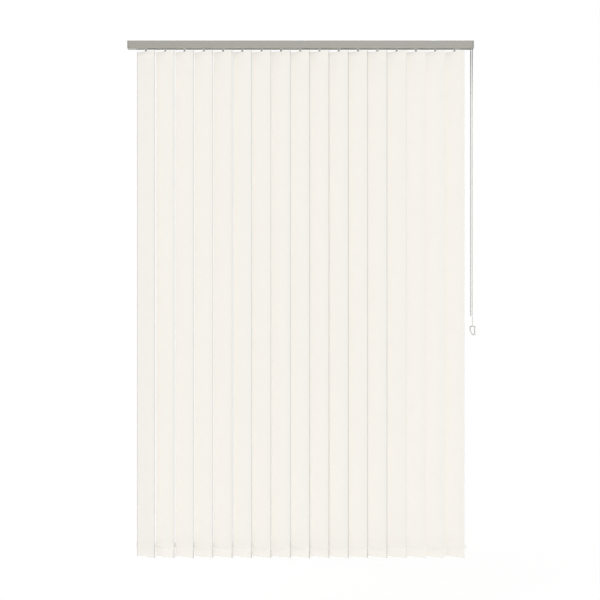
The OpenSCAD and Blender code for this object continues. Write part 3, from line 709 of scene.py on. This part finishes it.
def vane_cloth(i, size):
    """One vane's cloth: a strip with a folded and welded pocket at each end."""
    line = cloth_line(size)
    slot_half, slot_high, slot_low = (5.8 * MM, size.vane_top - 5.5 * MM,
                                      size.vane_top - 10.3 * MM)
    half, edge = size.vane_width / 2, 1 * MM
    right = [slot_half, 0.42 * half, 0.72 * half, half - edge, half]
    columns = [-u for u in reversed(right)] + right
    chance = random.Random(100 + i)
    waves = [(chance.uniform(0.3, 0.9), chance.uniform(0.5, 2.6), chance.uniform(0, math.tau))
             for _ in range(4)]
    cup = chance.uniform(-0.6, 0.6)
    # How dark the fused edges are, with their painted shade: the near ones fade out beside the
    # controls, and of the far ones only the first vane's is plain to see
    last_shaded_edge = 14.3
    near, far = min(1, max(0, last_shaded_edge - i)), 1 if i == 1 else 0.15
    long = size.vane_top - size.vane_bottom

    def stray(u, z):
        share = (size.vane_top - z) / long
        quiet = math.sin(math.pi * min(1, max(0, share))) ** 0.5
        side = u / half
        bend = sum(a * math.sin(n * math.tau * share + start + side * 0.8)
                   for a, n, start in waves) / 2
        return size.cloth_wave * quiet * (0.5 * bend + cup * (side * side - 0.4))

    verts = [(u, v + stray(u, z), z) for v, z in line for u in columns]
    across = len(columns)
    faces = []
    for k in range(len(line) - 1):
        middle = (line[k][1] + line[k + 1][1]) / 2
        behind = line[k][0] > 0
        for c in range(across - 1):
            if behind and slot_low < middle < slot_high and columns[c] == -slot_half:
                continue
            a = k * across + c
            faces.append((a, a + 1, a + 1 + across, a + across))
    cloth = new_piece(f"cloth_{i:02d}", verts, faces, sharp=math.pi)
    skin = cloth.modifiers.new("cloth thickness", "SOLIDIFY")
    skin.thickness = size.cloth_thickness
    skin.offset = 0
    # The object's colour sets how dark each vane's edge bands are: fused edges with painted shade
    cloth.color = (near, far, 0, 1)
    return cloth, route_length([Vector((0, v, z)) for v, z in line])


class BLIND_OT_vanes(bpy.types.Operator):
    """Hangs the cloth vanes, each with its hook, hanger and bottom weight"""

    bl_idname = "blind.vanes"
    bl_label = "Vanes"

    def execute(self, context):
        size = sizes()
        hook, _, hanger, weight = solids_of(VANE_NODES[0])
        turn = size.rest_angle
        hardware = {"hook": (hook, "moulded_acetal"), "hanger": (hanger, "moulded_polycarbonate"),
                    "weight": (weight, "polypropylene")}
        meshes = {}
        nib_height = size.vane_top - 4 * MM
        behind_cloth = -(size.hanger_thickness / 2 + 0.05 * MM)
        for name, ((verts, faces), material) in hardware.items():
            own = []
            for v in verts:
                x, y = v.x - vane_x(1), v.y
                across = x * math.sin(turn) + y * math.cos(turn)
                # The hook's nib passes the hanger's slot and ends behind the front layer of cloth
                if name == "hook" and v.z < nib_height:
                    across = max(across, behind_cloth)
                own.append((x * math.cos(turn) - y * math.sin(turn), across, v.z))
            piece = dress(new_piece(f"{name}_01", own, faces), material)
            meshes[name] = piece.data
            bpy.data.objects.remove(piece)
        for i in range(1, len(VANE_NODES) + 1):
            body = vane_name(i)
            cloth, length = vane_cloth(i, size)
            dress(cloth, "woven_polyester")
            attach(place_in_vane(cloth, i), body)
            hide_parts(body)
            for name, mesh in meshes.items():
                piece = bpy.data.objects.new(f"{name}_{i:02d}", mesh)
                context.scene.collection.objects.link(piece)
                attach(place_in_vane(piece, i), body)
        return {"FINISHED"}


class BLIND_OT_link_chains(bpy.types.Operator):
    """Strings the two bead chains that join the vanes' bottom corners"""

    bl_idname = "blind.link_chains"
    bl_label = "Link chains"

    def execute(self, context):
        size = sizes()
        pin_reach, thread, steps = 4 * MM, 0.8 * MM, 12
        ring_outer, ring_bore, ring_height, lap = 1.65 * MM, 0.95 * MM, 3 * MM, 0.3 * MM
        reach = size.vane_width / 2 + pin_reach
        count = len(VANE_NODES)
        for node, side in (("front_link_chain", 1), ("rear_link_chain", -1)):
            ring_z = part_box(node)[1].z - ring_height / 2
            across = side * reach * math.cos(size.rest_angle)
            y = -side * reach * math.sin(size.rest_angle)
            half = PITCH / 2 - ring_outer + lap
            arc = (half * half + size.link_sag ** 2) / (2 * size.link_sag)
            spread = math.asin(half / arc)
            parts = []
            for i in range(1, count):
                middle = Vector((vane_x(i) + across + PITCH / 2, y, ring_z - size.link_sag + arc))
                turns = [spread * k / steps for k in range(-steps, steps + 1)]
                route = [middle + arc * Vector((math.sin(turn), 0, -math.cos(turn)))
                         for turn in turns]
                parts.append(beaded(route, size.link_bead_diameter, thread,
                                    size.link_bead_pitch, side=Vector((0, 1, 0))))
            chain = new_piece(f"{node}_beads", *joined(parts), sharp=math.pi)
            dress(chain, "link_polyester")
            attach(chain, node)
            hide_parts(node)
            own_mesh(chain)
            for i in range(1, count + 1):
                ring = new_piece(f"{node}_clip_{i:02d}",
                                 *clip_ring(Vector((vane_x(i) + across, y, ring_z)),
                                            ring_outer, ring_bore, ring_height))
                dress(ring, "link_polyester")
                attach(ring, vane_name(i))
        return {"FINISHED"}


def clip_ring(centre, outer, bore, height, sides=20):
    """Points and faces of the small ring that turns on a weight's pin."""
    soft = 0.25 * MM
    profile = [(bore, -height / 2 + soft), (bore + soft, -height / 2), (outer - soft, -height / 2),
               (outer, -height / 2 + soft), (outer, height / 2 - soft), (outer - soft, height / 2),
               (bore + soft, height / 2), (bore, height / 2 - soft)]
    verts, faces, n = [], [], len(profile)
    for s in range(sides):
        turn = math.tau * s / sides
        verts += [centre + Vector((r * math.cos(turn), r * math.sin(turn), z)) for r, z in profile]
    for s in range(sides):
        for k in range(n):
            a, b = s * n + k, s * n + (k + 1) % n
            faces.append((a, (a + n) % (n * sides), (b + n) % (n * sides), b))
    return verts, [tuple(reversed(f)) for f in faces]


class BLIND_OT_headrail(bpy.types.Operator):
    """Finishes the headrail, its end caps, its ceiling clips and the stop inside it"""

    bl_idname = "blind.headrail"
    bl_label = "Headrail"

    def execute(self, context):
        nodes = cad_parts
        dress(nodes["headrail"], "coated_aluminium")
        for name in ("left_end_cap", "control_end_cap"):
            dress(nodes[name], "moulded_abs")
        dress(nodes["end_stop"], "moulded_nylon")
        dress(nodes["ceiling_clips"], "zinc_plated_steel")
        return {"FINISHED"}


class BLIND_OT_rail_works(bpy.types.Operator):
    """Finishes the carriers, the tilt rod, the pulleys and the cord inside the rail"""

    bl_idname = "blind.rail_works"
    bl_label = "Carriers and drives"

    def execute(self, context):
        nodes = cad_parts
        for name in CARRIER_NODES:
            dress(nodes[name], "moulded_nylon")
        for name in ("chain_wheel", "front_cord_pulley", "rear_cord_pulley", "idler_pulley"):
            dress(nodes[name], "moulded_acetal")
        dress(nodes["tilt_rod"], "drawn_aluminium")
        dress(nodes["pulley_pins"], "stainless_steel")
        dress(nodes["wheel_chain"], "bead_polyester")
        dress(nodes["traverse_cord"], "braided_polyester")
        return {"FINISHED"}


# ---------------------------------------------------------------- the studio


def pale_surface(colour):
    """A pale matt stage: plain white to the camera, mirrors and glass, with the blind's shadow."""
    material, tree, shader = start_material("pale_stage_paint")
    shader.inputs["Base Color"].default_value = shaded(colour, 0.66)
    shader.inputs["Roughness"].default_value = 0.9
    shader.inputs["Specular IOR Level"].default_value = 0
    # The lamps light the paint to a part of white, and a glow that is only seen adds the rest
    glow = add_node(tree, "ShaderNodeEmission", None, {"Color": colour4(colour), "Strength": 0.64})
    seen = add_node(tree, "ShaderNodeMixShader",
                    {0: seen_directly(tree), 2: glow.outputs["Emission"]})
    both = add_node(tree, "ShaderNodeAddShader",
                    {0: shader.outputs["BSDF"], 1: seen.outputs["Shader"]})
    output = next(n for n in tree.nodes if n.type == "OUTPUT_MATERIAL")
    tree.links.new(both.outputs["Shader"], output.inputs["Surface"])
    return material


def seen_directly(tree):
    """1 where a ray comes from the camera or from a gloss or glass surface, and 0 elsewhere."""
    path = add_node(tree, "ShaderNodeLightPath")
    either = add_node(tree, "ShaderNodeMath", {0: path.outputs["Is Camera Ray"],
                                               1: path.outputs["Is Glossy Ray"]},
                      operation="MAXIMUM")
    every = add_node(tree, "ShaderNodeMath", {0: either.outputs["Value"],
                                              1: path.outputs["Is Transmission Ray"]},
                     operation="MAXIMUM")
    return every.outputs["Value"]


class BLIND_OT_stage(bpy.types.Operator):
    """Sets up the pale floor, the white surroundings and the soft lights"""

    bl_idname = "blind.stage"
    bl_label = "Studio"

    def execute(self, context):
        scene = context.scene
        scene.view_settings.view_transform = "Standard"
        white = scene.blind_colours.backdrop
        floor_z, wide, deep = -2.42, 4, 3
        corners = [(-wide, -deep), (wide, -deep), (wide, deep), (-wide, deep)]
        floor = new_piece("floor", [(x, y, floor_z) for x, y in corners], [(0, 1, 2, 3)])
        floor.data.materials.append(pale_surface(white))
        world = bpy.data.worlds.new("studio")
        world.use_nodes = True
        scene.world = world
        tree = world.node_tree
        soft = next(n for n in tree.nodes if n.type == "BACKGROUND")
        soft.inputs["Color"].default_value = (1, 1, 1, 1)
        soft.inputs["Strength"].default_value = 0.42
        bright = add_node(tree, "ShaderNodeBackground", None,
                          {"Color": colour4(white), "Strength": 1})
        mix = add_node(tree, "ShaderNodeMixShader",
                       {0: seen_directly(tree), 1: soft.outputs["Background"],
                        2: bright.outputs["Background"]})
        output = next(n for n in tree.nodes if n.type == "OUTPUT_WORLD")
        tree.links.new(mix.outputs["Shader"], output.inputs["Surface"])
        # Broad far lights, so that every vane gets the same: place, spread in degrees, strength
        blind_middle = Vector((0, 0, -1.1))
        lamps = {
            "key_light": ((0.55, -6, -0.5), 20, 1.76),
            "fill_light": ((-3, -4.5, 2), 60, 0.3),
            "back_light": ((0.5, 3.6, 0.8), 60, 0.22),
        }
        for name, (place, spread, power) in lamps.items():
            lamp = bpy.data.objects.new(name, bpy.data.lights.new(name, "SUN"))
            lamp.data.angle = math.radians(spread)
            lamp.data.energy = power
            lamp.location = place
            aim = blind_middle - lamp.location
            lamp.rotation_euler = aim.to_track_quat("-Z", "Y").to_euler()
            scene.collection.objects.link(lamp)
        # The glow of a pale floor on what faces down
        glow = bpy.data.objects.new("floor_glow", bpy.data.lights.new("floor_glow", "AREA"))
        glow.data.shape = "RECTANGLE"
        glow.data.size, glow.data.size_y = 1.6, 0.3
        glow.data.spread = math.radians(12)
        glow.data.energy = 2.2
        glow.location = (0, 0, floor_z + 10 * MM)
        glow.rotation_euler = (math.pi, 0, 0)
        scene.collection.objects.link(glow)
        return {"FINISHED"}


OPERATORS = (
    BLIND_OT_camera,
    BLIND_OT_tilt_chain,
    BLIND_OT_pull_cord,
    BLIND_OT_vanes,
    BLIND_OT_link_chains,
    BLIND_OT_headrail,
    BLIND_OT_rail_works,
    BLIND_OT_stage,
)


class BLIND_PT_panel(bpy.types.Panel):
    """Lists the blind's sizes, its colours and the steps that make it"""

    bl_idname = "BLIND_PT_panel"
    bl_label = "Vertical Blind"
    bl_space_type = "VIEW_3D"
    bl_region_type = "UI"
    bl_category = "Vertical Blind"

    def draw(self, context):
        for group in (context.scene.blind_sizes, context.scene.blind_colours):
            box = self.layout.box()
            for name in group.__annotations__:
                box.prop(group, name)
        for operator in OPERATORS:
            self.layout.operator(operator.bl_idname)


CLASSES = (VerticalBlindSizes, VerticalBlindColours, *OPERATORS, BLIND_PT_panel)


def register():
    for cls in CLASSES:
        bpy.utils.register_class(cls)
    bpy.types.Scene.blind_sizes = bpy.props.PointerProperty(type=VerticalBlindSizes)
    bpy.types.Scene.blind_colours = bpy.props.PointerProperty(type=VerticalBlindColours)


def unregister():
    del bpy.types.Scene.blind_colours
    del bpy.types.Scene.blind_sizes
    for cls in reversed(CLASSES):
        bpy.utils.unregister_class(cls)


def main():
    register()
    for operator in OPERATORS:
        group, name = operator.bl_idname.split(".")
        getattr(getattr(bpy.ops, group), name)()


if __name__ == "__main__":
    main()
